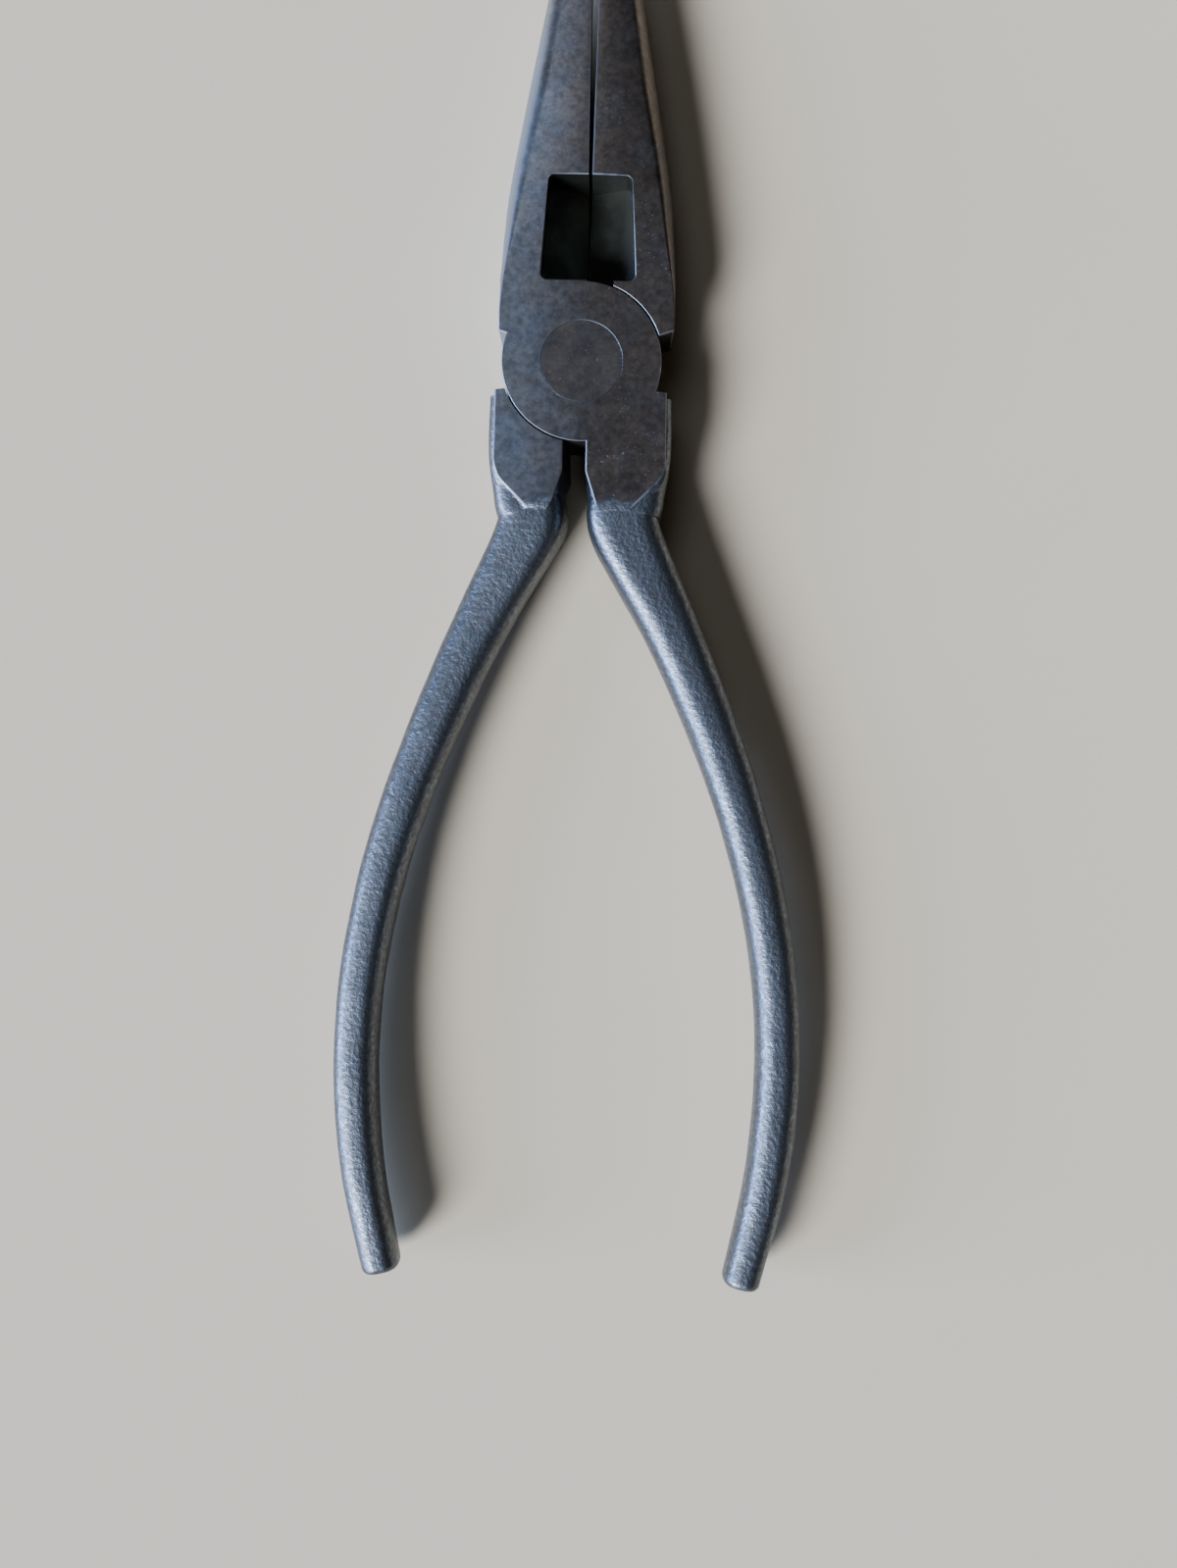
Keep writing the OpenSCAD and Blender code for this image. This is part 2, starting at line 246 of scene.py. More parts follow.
class PliersStage(bpy.types.PropertyGroup):
    """Camera, floor and light."""

    camera_height: length("Camera height", "From the upper faces to the camera", 280.0)
    pixel: length("Pixel", "Width of one photograph pixel at the upper faces", 0.144)
    rivet_right: share("Rivet across", "Rivet's place across the photograph", 0.494)
    rivet_down: share("Rivet down", "Rivet's place down the photograph", 0.2301)
    roll: angle("Roll", "Turn of the photograph about the line of sight", 1.27)
    pan: angle("Pan", "Tilt of the camera to the side", 0.35)
    floor_colour: colour("Floor", "Pale matt floor", "#bcab8e")
    floor_drop: length("Floor drop", "Gap between the floor and the tool's lower faces", 0.02)
    key_strength: strength("Key light", "Key light, which casts the shadows", 11.3)
    key_spread: angle("Key spread", "How wide the key light looks from the tool", 24.0)
    key_turn: angle("Key direction", "Turn of the key light about the tool", 228.0)
    key_rise: angle("Key height", "Height of the key light over the floor", 38.0)
    key_colour: colour("Key colour", "Cool daylight", "#d6e4ff")
    side_strength: strength("Side light", "Broad low light on the left", 6.9)
    side_spread: angle("Side spread", "How wide the side light looks from the tool", 29.0)
    side_turn: angle("Side direction", "Turn of the side light about the tool", 190.0)
    side_rise: angle("Side height", "Height of the side light over the floor", 17.0)
    side_colour: colour("Side colour", "Blue of an open sky", "#a8c6ff")
    top_strength: strength("Top light", "Weak light over the jaws", 0.36)
    top_spread: angle("Top spread", "How wide the top light looks from the tool", 26.0)
    top_turn: angle("Top direction", "Turn of the top light about the tool", 118.0)
    top_rise: angle("Top height", "Height of the top light over the floor", 62.0)
    top_colour: colour("Top colour", "Blue of an open sky", "#d6e4ff")
    room_colour: colour("Room colour", "Light that the room returns", "#dfdcd6")
    room_light: share("Room light", "Strength of the light from the ceiling", 0.015, 4.0)
    wall_light: share("Wall light", "Strength of the light from the walls", 0.8, 4.0)


def sizes():
    """The tool's sizes in millimetres and its angles in radians, with what follows from them."""
    group = bpy.context.scene.pliers_sizes
    s = SimpleNamespace()
    for prop in group.bl_rna.properties:
        if prop.type == "FLOAT":
            value = getattr(group, prop.identifier)
            setattr(s, prop.identifier, value / METRE if prop.unit == "LENGTH" else value)
    s.mid_z = s.joint_t / 2
    s.lap_z = s.mid_z + s.face_gap / 2
    s.knife_to = s.side_from + s.knife_len
    s.side_r = math.hypot(s.jaw_half_w, s.mid_z)
    s.neck_y = -(s.shoulder_len + s.neck_len)
    s.bow_len = s.neck_y + s.bow_from
    s.end_at = (s.neck_y + s.handle_reach - s.end_r) / s.bow_len
    return s


# Shapes

def between(points, at):
    """Value at a place on a line through (place, value) points."""
    for (a, low), (b, high) in zip(points, points[1:]):
        if at <= b:
            return low + (high - low) * max(0.0, (at - a) / (b - a))
    return points[-1][1]


def eased(points, at, reach):
    """Like between, with the line's corners eased over a reach to both sides."""
    steps = [-1.0, -0.6, -0.2, 0.2, 0.6, 1.0]
    return sum(between(points, at + reach * step) for step in steps) / len(steps)


def soft_step(low, high, at):
    t = min(1.0, max(0.0, (at - low) / (high - low)))
    return t * t * (3 - 2 * t)


def rounded(corner, before, after, cut, steps):
    """Points round a corner, which starts and ends a cut away from it."""
    start = corner - before * cut
    end = corner + after * cut
    return [start * (1 - t) ** 2 + corner * 2 * t * (1 - t) + end * t ** 2
            for t in [k / steps for k in range(steps + 1)]]


def arc(centre, radius, start, turn, steps):
    return [centre + radius * Vector((math.cos(start + turn * k / steps),
                                      math.sin(start + turn * k / steps)))
            for k in range(steps + 1)]


def close_shape(bm, finish=None):
    """Merges doubles, fills what is open and turns all faces outwards."""
    bmesh.ops.remove_doubles(bm, verts=bm.verts, dist=1e-5)
    filled = bmesh.ops.holes_fill(bm, edges=[e for e in bm.edges if e.is_boundary], sides=0)
    if finish is not None:
        for face in filled["faces"]:
            face.material_index = finish
    bmesh.ops.recalc_face_normals(bm, faces=bm.faces)
    return bm


def paint(bm, place, finishes, around):
    """Gives each face the finish of the stretch of its ring or profile that it lies on."""
    last = len(finishes) - 1
    for face in bm.faces:
        places = [v[place] for v in face.verts]
        low = min(places)
        if around and low == 0 and max(places) == last:
            low = last
        face.material_index = finishes[min(low, last)]


def loft(sections, finishes):
    """Closed skin over a row of rings, each a list of points in the same order."""
    bm = bmesh.new()
    place = bm.verts.layers.int.new("place")
    bmesh.ops.create_circle(bm, cap_ends=False, segments=len(sections[0]), radius=1.0)
    for n, vert in enumerate(bm.verts):
        vert[place] = n
        vert.co = sections[0][n]
    ring = list(bm.edges)
    for section in sections[1:]:
        grown = bmesh.ops.extrude_edge_only(bm, edges=ring)["geom"]
        for vert in [g for g in grown if isinstance(g, bmesh.types.BMVert)]:
            vert.co = section[vert[place]]
        ring = [g for g in grown if isinstance(g, bmesh.types.BMEdge)]
    paint(bm, place, finishes, around=True)
    return close_shape(bm, max(set(finishes), key=finishes.count))


def spun(profile, finishes, steps):
    """Closed shape turned about the rivet's axis from a profile of (radius, height) points."""
    bm = bmesh.new()
    place = bm.verts.layers.int.new("place")
    verts = [bm.verts.new((r, 0, z)) for r, z in profile]
    for n, vert in enumerate(verts):
        vert[place] = n
    edges = [bm.edges.new(pair) for pair in zip(verts, verts[1:])]
    bmesh.ops.spin(bm, geom=verts + edges, cent=(0, 0, 0), axis=(0, 0, 1), dvec=(0, 0, 0),
                   angle=math.tau, steps=steps, use_merge=True, use_duplicate=False)
    paint(bm, place, finishes, around=False)
    return close_shape(bm)


def shave(bm, point, normal, finish):
    """Grinds a shape flat along a plane, and keeps the side that the normal points away from."""
    everything = bm.verts[:] + bm.edges[:] + bm.faces[:]
    cut = bmesh.ops.bisect_plane(bm, geom=everything, dist=1e-6, plane_co=point,
                                 plane_no=normal, clear_outer=True)["geom_cut"]
    rim = [g for g in cut if isinstance(g, bmesh.types.BMEdge)]
    for face in bmesh.ops.edgeloop_fill(bm, edges=rim)["faces"]:
        face.material_index = finish
    bmesh.ops.recalc_face_normals(bm, faces=bm.faces)


def as_object(name, bm):
    mesh = bpy.data.meshes.new(name)
    bm.to_mesh(mesh)
    bm.free()
    for _ in range(WORN + 1):
        mesh.materials.append(None)
    made = bpy.data.objects.new(name, mesh)
    bpy.context.scene.collection.objects.link(made)
    return made


def discard(thing):
    mesh = thing.data
    bpy.data.objects.remove(thing)
    bpy.data.meshes.remove(mesh)


def combine(base, tool_bm, operation):
    """Joins a shape to the base or cuts it out of the base, and applies the result."""
    tool = as_object("tool", tool_bm)
    boolean = base.modifiers.new("shape", "BOOLEAN")
    boolean.operation = operation
    boolean.object = tool
    boolean.solver = "EXACT"
    boolean.material_mode = "INDEX"
    depsgraph = bpy.context.evaluated_depsgraph_get()
    result = bpy.data.meshes.new_from_object(base.evaluated_get(depsgraph))
    base.modifiers.remove(boolean)
    old = base.data
    base.data = result
    bpy.data.meshes.remove(old)
    discard(tool)
    if not base.data.polygons:
        raise RuntimeError(f"{base.name}: nothing is left after {operation.lower()}")


# The forging

def jaw_section(y, s, side, groove=0.0, draw_in=0.0):
    """Ring of the left jaw: grip face, crowned upper face, round side, lower face.

    The groove is how far a tooth's bottom lies behind the grip face, and draw_in is how much
    the rounded tip has drawn in. The crown comes in beside the window, so the lap stays flat.
    """
    half_t = between([(s.thin_from, s.mid_z), (s.jaw_reach + 1, s.nose_t / 2)], y) - draw_in
    radius = eased([(s.round_from, s.side_r), (s.knife_to, s.neck_r), (s.taper_from, s.taper_r),
                    (s.jaw_reach - s.tip_r, s.nose_r)], y, TAPER_EASE) - draw_in
    width = between([(s.side_from, s.jaw_half_w), (s.knife_to, s.neck_half_w)], y)
    crown = s.crown * soft_step(s.side_from + 2, s.knife_to + 4, y)
    rim_z = half_t - crown
    rim_angle = math.asin(rim_z / radius)
    rim_x = min(width, radius * math.cos(rim_angle))
    grip_x = -s.grip_gap / 2 - groove
    at_knives, at_tips = JAW_SOFT[side]
    soft = between([(s.side_from, s.edge), (s.knife_to, at_knives), (s.jaw_reach, at_tips)], y)

    up, out = Vector((0, 1)), Vector((-1, 0))
    points = [Vector((grip_x, half_t * part)) for part in (0.25, 0.7)]
    points += rounded(Vector((grip_x, half_t)), up, out, s.edge, 2)
    inner, outer = grip_x - s.edge, -rim_x + soft
    for part in (0.17, 0.33, 0.5, 0.67, 0.83):
        x = inner + (outer - inner) * part
        points.append(Vector((x, half_t - crown * (x / rim_x) ** 2)))
    down_slope = Vector((-1, -2 * crown / rim_x)).normalized()
    round_side = rim_x < width - 1e-4
    along_side = Vector((-math.sin(rim_angle), -math.cos(rim_angle))) if round_side else -up
    points += rounded(Vector((-rim_x, rim_z)), down_slope, along_side, soft, 5)
    start = rim_angle - soft / radius
    for part in (0.85, 0.65, 0.45, 0.25, 0.08):
        a = start * part
        points.append(Vector((-min(width, radius * math.cos(a)), radius * math.sin(a))))
    mirrored = [Vector((p.x, -p.y)) for p in reversed(points)]
    return [Vector((p.x, y, s.mid_z + p.y)) for p in points + mirrored]


def to_seam(bm, s, side):
    """Moves what was made along the rivet's middle line to the seam, seen from the side's face."""
    turn = Matrix.Rotation(-side * s.seam_lean, 3, "Z")
    bmesh.ops.rotate(bm, cent=(0, 0, 0), matrix=turn, verts=bm.verts)
    bmesh.ops.translate(bm, vec=(side * s.seam_x, 0, 0), verts=bm.verts)


def left_jaw(s, side):
    """Left jaw of the closed pliers, cut at the face that stops the opening.

    Each row is a height, the depth of a tooth's groove there and how much the tip draws in.
    """
    reach = s.jaw_reach - s.tip_r
    tooth_count = math.floor((reach - s.teeth_from) / s.tooth_pitch)
    rows = [(-1 + (s.teeth_from - 1) * k / JAW_STEPS, 0.0, 0.0) for k in range(JAW_STEPS + 1)]
    for tooth in range(tooth_count):
        bottom = s.teeth_from + tooth * s.tooth_pitch
        rows += [(bottom + part * 0.45 * s.tooth_pitch, groove, 0.0)
                 for part, groove in ((-1, 0.0), (0, s.tooth_depth), (1, 0.0))]
    turns = [math.pi / 2 * k / TIP_STEPS for k in range(TIP_STEPS + 1)]
    rows += [(reach + s.tip_r * math.sin(a), 0.0, s.tip_r * (1 - math.cos(a))) for a in turns]
    sections = [jaw_section(y, s, side, groove, draw_in) for y, groove, draw_in in rows]
    finishes = [GROUND] * len(sections[0])
    # The stretches of a ring that are the broken edges beside the seam.
    for n in (2, 3, len(finishes) - 4, len(finishes) - 5):
        finishes[n] = WORN
    bm = loft(sections, finishes)
    to_seam(bm, s, side)

    stop = Vector((-math.sin(s.stop_angle), -math.cos(s.stop_angle), 0))
    wall = s.jaw_half_w - side * s.seam_x
    corner = Vector((-wall, wall * math.tan(s.stop_angle), 0))
    shave(bm, Vector(), stop, GROUND)
    shave(bm, Vector((0, 0, s.joint_t)) - stop * s.edge, stop + Vector((0, 0, 1)), WORN)
    shave(bm, -stop * s.edge, stop - Vector((0, 0, 1)), WORN)
    shave(bm, corner - stop * s.edge, stop + Vector((-1, 0, 0)), WORN)
    return bm


def slot_wall(s, side):
    """Distance from the rivet's middle line to a shoulder's side of the slot."""
    return s.slot_w / 2 - side * s.slot_x


def shoulder_outline(s, side, inset, ramp, run_out):
    """Outline of a ground shoulder, counterclockwise from the slot's side under the lap.

    Its outer corner stands out by the ramp and its end by the run-out.
    """
    w = s.shoulder_w - inset
    slot = slot_wall(s, side) + inset
    slope = math.tan(s.stop_angle)
    drop = inset / math.cos(s.stop_angle)
    end_y = -s.shoulder_len - run_out
    inner = s.lap_r - 3
    centre = Vector((s.shoulder_w - s.shoulder_r, -s.shoulder_from))
    corner = arc(centre, s.shoulder_r, 0, -s.shoulder_turn, CORNER_STEPS)
    for n, point in enumerate(corner):
        grow = -inset + (ramp + inset) * n / CORNER_STEPS
        point += (point - centre).normalized() * grow
    last = corner[-1]
    end_x = last.x - (last.y - end_y) * math.tan(s.shoulder_turn)
    points = [Vector((slot, -inner * slope - drop)), Vector((w, -w * slope - drop)), *corner,
              Vector((end_x, end_y)), Vector((slot + s.slot_flare + 0.65 * run_out, end_y)),
              Vector((slot + s.slot_flare, -s.shoulder_len)), Vector((slot, -s.slot_len))]
    return points


def shoulder(s, side):
    """Ground shoulder: the flat faces between the joint and the handle's neck.

    Each level is a depth below the face, and the outline's inset, ramp and run-out there.
    """
    levels = [(0, s.edge, 0, 0), (0.08, s.edge / 2, 0.18, 0.5), (s.edge, 0, 0.35, 1.0),
              (0.35, 0, 0.9, 1.7), (0.8, 0, 1.3, 2.2)]
    upper = [(s.joint_t - depth, *rest) for depth, *rest in levels]
    lower = [(depth, *rest) for depth, *rest in reversed(levels)]
    sections = [[Vector((p.x, p.y, z)) for p in shoulder_outline(s, side, *rest)]
                for z, *rest in upper + lower]
    bm = loft(sections, [GROUND] * len(sections[0]))
    # Walls and faces stay ground, the rims are worn, and the run-out past them is forged.
    for face in bm.faces:
        zs = [v.co.z for v in face.verts]
        if max(zs) - min(zs) > s.joint_t / 2:
            continue
        if max(v.co.y for v in face.verts) < -s.shoulder_len + 0.01:
            face.material_index = FORGED
        elif 0.01 < max(zs) - min(zs) < s.edge and not s.edge < min(zs) < s.joint_t - s.edge:
            face.material_index = WORN
        elif max(v.co.y for v in face.verts) < -s.shoulder_from - 0.5:
            face.material_index = FORGED
    return bm


def handle_station(s, side, t):
    """A handle's station at t, where 0 is the neck and 1 is the widest bow.

    A station is its centre, its half width, its half thickness and its squareness.
    """
    to_bow = max(0.0, 1 - t) ** 2
    to_end = (max(0.0, t - 1) / (s.end_at - 1)) ** 2
    from_neck = max(0.0, 1 - t) ** 8
    thickness = (s.handle_t + (s.joint_t - s.handle_t) * from_neck * NECK_FILL
                 + (s.handle_end_t - s.handle_t) * to_end)
    wider = (s.root_up if side > 0 else s.root_under) / 2 * from_neck
    return [s.neck_x - wider + (s.handle_bow - s.neck_x) * math.sin(math.pi / 2 * t),
            s.neck_y - s.bow_len * t,
            wider + s.handle_w + (s.neck_w - s.handle_w) * to_bow
            + (s.handle_end_w - s.handle_w) * to_end,
            thickness / 2,
            HANDLE_SQUARE + NECK_SQUARER * from_neck]


def flank_stations(s, side):
    """Stations of the forged flanks beside the joint, from the stop to the neck."""
    outer = s.shoulder_w + s.flank
    middle = (outer + slot_wall(s, side)) / 2
    half = (outer - slot_wall(s, side)) / 2
    deep = s.mid_z - s.face_step
    return [[middle, -outer * math.tan(s.stop_angle) - 0.5, half, deep, 7.0],
            [middle, -s.shoulder_from + 0.8, half, deep, 7.0],
            [middle - 0.3, -s.shoulder_len + 1.2, half - 0.6, deep + 0.1, 5.0]]


def smooth_path(stations, steps):
    """Stations on a smooth curve through the given ones, with steps between two of them."""
    last = len(stations) - 1
    path = []
    for i in range(last):
        p0, p1, p2, p3 = (stations[min(last, max(0, k))] for k in (i - 1, i, i + 1, i + 2))
        for k in range(steps + (i == last - 1)):
            t = k / steps
            path.append([0.5 * (2 * b + (c - a) * t + (2 * a - 5 * b + 4 * c - d) * t * t
                                + (3 * b - a - 3 * c + d) * t ** 3)
                         for a, b, c, d in zip(p0, p1, p2, p3)])
    return path


def handle_section(station, across, s, seed):
    """Rounded rectangle across a handle, sunk here and there by the hammer's shallow waves."""
    x, y, half_w, half_t, square = station
    ring = []
    for j in range(HANDLE_POINTS):
        a = math.tau * (j + 0.5) / HANDLE_POINTS
        c, d = math.cos(a), math.sin(a)
        u = half_w * math.copysign(abs(c) ** (2 / square), c)
        v = half_t * math.copysign(abs(d) ** (2 / square), d)
        point = Vector((x + across.x * u, y + across.y * u, s.mid_z + v))
        wave = noise.noise(point / s.hammer_pitch + Vector((seed, 0, 0)))
        wave += 0.4 * noise.noise(point / s.hammer_pitch * 3 + Vector((0, seed, 0)))
        sunk = s.hammer_depth * (0.5 + 0.5 * wave) * soft_step(-s.shoulder_len, s.neck_y - 4, y)
        inward = Vector((-across.x * c, -across.y * c, -d))
        ring.append(point + inward * max(0.0, sunk))
    return ring


def handle(s, side, seed):
    """Forged handle on the right of the tool, with its end rounded off."""
    shorter = s.short_by / s.bow_len if side < 0 else 0.0
    bow = [(s.end_at - shorter) * i / BOW_STEPS for i in range(BOW_STEPS + 1)]
    stations = flank_stations(s, side) + [handle_station(s, side, t) for t in bow]
    path = smooth_path(stations, HANDLE_STEPS)
    ends = [path[0], *path, path[-1]]
    sections = []
    for n, station in enumerate(path):
        along = (Vector(ends[n + 2][:2]) - Vector(ends[n][:2])).normalized()
        sections.append(handle_section(station, Vector((-along.y, along.x)), s, seed))
    x, y, half_w, half_t, square = path[-1]
    for k in range(1, END_STEPS + 1):
        a = math.pi / 2 * k / END_STEPS
        step = s.end_r * math.sin(a)
        shrink = s.end_r * (1 - math.cos(a))
        station = [x + along.x * step, y + along.y * step, half_w - shrink, half_t - shrink, square]
        sections.append(handle_section(station, Vector((-along.y, along.x)), s, seed))
    return loft(sections, [FORGED] * len(sections[0]))


def slant_slot(made, s):
    """Slants the turned half's side of the slot, which reaches further out toward the floor.

    In this half's own frame the floor's side is at the joint's full height. The slant fades
    out across the shoulder, along the handle and under the lap.
    """
    for vert in made.data.vertices:
        near = soft_step(s.neck_x, s.slot_w, vert.co.x)
        beside = (soft_step(2.6 - s.lap_r, -s.lap_r + 1, vert.co.y)
                  * soft_step(s.neck_y - 8, -s.shoulder_len, vert.co.y))
        vert.co.x -= s.slot_draft * near * beside * vert.co.z / s.joint_t


def hook_tool(s, side):
    """What is taken off the lower jaw root beside the seam, so that it can pass the other lap."""
    low, high = -PAST, s.lap_z + 0.01
    corners = ((-s.hook_x, low), (PAST, low), (PAST, high), (-s.hook_x, high))
    rings = [[Vector((x, y, z)) for x, z in corners] for y in (s.lap_r - 2.5, s.side_from + 0.05)]
    bm = loft(rings, [GROUND] * len(corners))
    to_seam(bm, s, side)
    return bm


def lap_hollow(s):
    """Hollow for the other half's lap, and the room that this half's own lap fills again."""
    radius = s.lap_r + s.lap_gap
    inner = s.lap_r - 1.5
    rim = s.edge / 2
    profile = [(0, -PAST), (radius + rim + PAST, -PAST), (radius, rim), (radius, s.lap_z),
               (inner, s.lap_z), (inner, s.joint_t + PAST), (0, s.joint_t + PAST)]
    return spun(profile, [GROUND, WORN] + [GROUND] * 4, HOLLOW_STEPS)


def lap_ring(s, gap):
    """Round lap with the bore for the rivet's shank and the seat of its head."""
    top, shank, head = s.joint_t, s.rivet_r + gap, s.rivet_head_r + gap
    rim = s.edge / 2
    profile = [(shank, s.lap_z), (s.lap_r, s.lap_z), (s.lap_r, top - rim),
               (s.lap_r - rim, top), (head + s.rivet_edge, top), (head, top - s.rivet_edge),
               (shank, top - s.rivet_head_h), (shank, s.lap_z)]
    return spun(profile, [GROUND, GROUND, WORN, GROUND, WORN, GROUND, GROUND], LAP_STEPS)


def forging(name, s, side, gap, seed):
    """One forged half before its knife is ground: left jaw, upper lap, right handle.

    The side is 1 for the half with the upper lap and -1 for the half that is turned over.
    The gap is the room round the rivet, and the seed places the hammer's waves.
    """
    made = as_object(name, left_jaw(s, side))
    combine(made, hook_tool(s, side), "DIFFERENCE")
    combine(made, shoulder(s, side), "UNION")
    combine(made, handle(s, side, seed), "UNION")
    if side < 0:
        slant_slot(made, s)
    combine(made, lap_hollow(s), "DIFFERENCE")
    combine(made, lap_ring(s, gap), "UNION")
    return made


def window_ring(s, grow, z_at):
    """Ring of the window over the knives, wider by grow, at the height that z_at gives."""
    low, top = s.window_low_w + grow, s.window_top_w + grow
    corner = s.window_r + grow
    base, ceiling = s.side_from - grow, s.knife_to + grow
    quarter = math.pi / 2
    outline = [Vector((-PAST, base))]
    outline += arc(Vector((low - corner, base + corner)), corner, -quarter, quarter, WINDOW_STEPS)
    outline += arc(Vector((top - corner, ceiling - corner)), corner, 0, quarter, WINDOW_STEPS)
    outline.append(Vector((-PAST, ceiling)))
    return [Vector((p.x, p.y, z_at(p.x))) for p in outline]


def grind_knife(made, s, side):
    """Grinds the window and the knife's two bevels on the side of the seam that is given."""
    slope = (s.bevel_z - s.edge_z) / s.window_low_w
    top = s.joint_t
    rings = [window_ring(s, PAST + s.edge, lambda x: top + PAST),
             window_ring(s, 0, lambda x: top - s.edge),
             window_ring(s, 0, lambda x: s.edge_z + slope * x)]
    window = loft(rings, [KNIFE] * len(rings[0]))
    for face in window.faces:
        if min(v.co.z for v in face.verts) > top - 1.01 * s.edge:
            face.material_index = WORN
    under = s.edge_z / s.under_bevel_w
    corners = ((-PAST, -PAST), (s.under_bevel_w + PAST / under, -PAST), (0, s.edge_z),
               (-PAST, s.edge_z))
    wedge = [[Vector((x, y, z)) for x, z in corners]
             for y in (s.side_from - s.lap_gap, s.knife_to)]
    under_bevel = loft(wedge, [KNIFE] * len(corners))
    for tool in (window, under_bevel):
        bmesh.ops.scale(tool, vec=(side, 1, 1), verts=tool.verts)
        bmesh.ops.recalc_face_normals(tool, faces=tool.faces)
        to_seam(tool, s, 1)
        combine(made, tool, "DIFFERENCE")


def finish_piece(made, materials, body, node):
    """Cleans a piece, smooths it between its edges, scales it to metres and seats it.

    Only the finest slivers are merged, because a coarser merge pinches a face shut.
    """
    bm = bmesh.new()
    bm.from_mesh(made.data)
    bmesh.ops.remove_doubles(bm, verts=bm.verts, dist=2e-5)
    bmesh.ops.dissolve_degenerate(bm, dist=1e-5, edges=bm.edges)
    bmesh.ops.recalc_face_normals(bm, faces=bm.faces)
    bmesh.ops.scale(bm, vec=(METRE,) * 3, verts=bm.verts)
    sharp = math.radians(CREASE)
    for face in bm.faces:
        face.smooth = True
    for edge in bm.edges:
        edge.smooth = edge.is_manifold and edge.calc_face_angle(math.pi) < sharp
    made.data.materials.clear()
    for material in materials:
        made.data.materials.append(material)
    bm.to_mesh(made.data)
    bm.free()
    flat = made.modifiers.new("faces stay flat", "WEIGHTED_NORMAL")
    flat.keep_sharp = True
    flat.weight = 100
    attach(made, body)
    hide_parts(node)
    return made


# Materials

# Settings that many nodes share.
SOFT_ENDS = {"interpolation_type": "SMOOTHSTEP"}
MIX_COLOURS = {"data_type": "RGBA"}
TINT = {"data_type": "RGBA", "blend_type": "MULTIPLY"}
TIMES = {"operation": "MULTIPLY"}


def add(tree, kind, settings=None, **inputs):
    """Adds a node with its settings, and fills or links its inputs.

    An input is named, or numbered as _0 and _1 where several share a name. A node given for
    an input is linked from its first output in use.
    """
    made = tree.nodes.new(kind)
    for key, value in (settings or {}).items():
        setattr(made, key, value)
    for key, value in inputs.items():
        if key.startswith("_"):
            socket = made.inputs[int(key[1:])]
        else:
            title = key.replace("_", " ")
            socket = next(end for end in made.inputs if end.enabled and end.name == title)
        if isinstance(value, bpy.types.Node):
            value = next(end for end in value.outputs if end.enabled)
        if isinstance(value, bpy.types.NodeSocket):
            tree.links.new(value, socket)
        elif socket.type == "RGBA" and len(value) == 3:
            socket.default_value = (*value, 1.0)
        else:
            socket.default_value = value
    return made


def lumps(width):
    """Scale of a noise whose lumps are about as wide as given, in metres."""
    return 0.5 / width


def empty_material(name):
    """A material without nodes, its node tree, and the place on the piece in metres."""
    material = bpy.data.materials.new(name)
    material.use_nodes = True
    tree = material.node_tree
    tree.nodes.clear()
    return material, tree, add(tree, "ShaderNodeTexCoord").outputs["Object"]


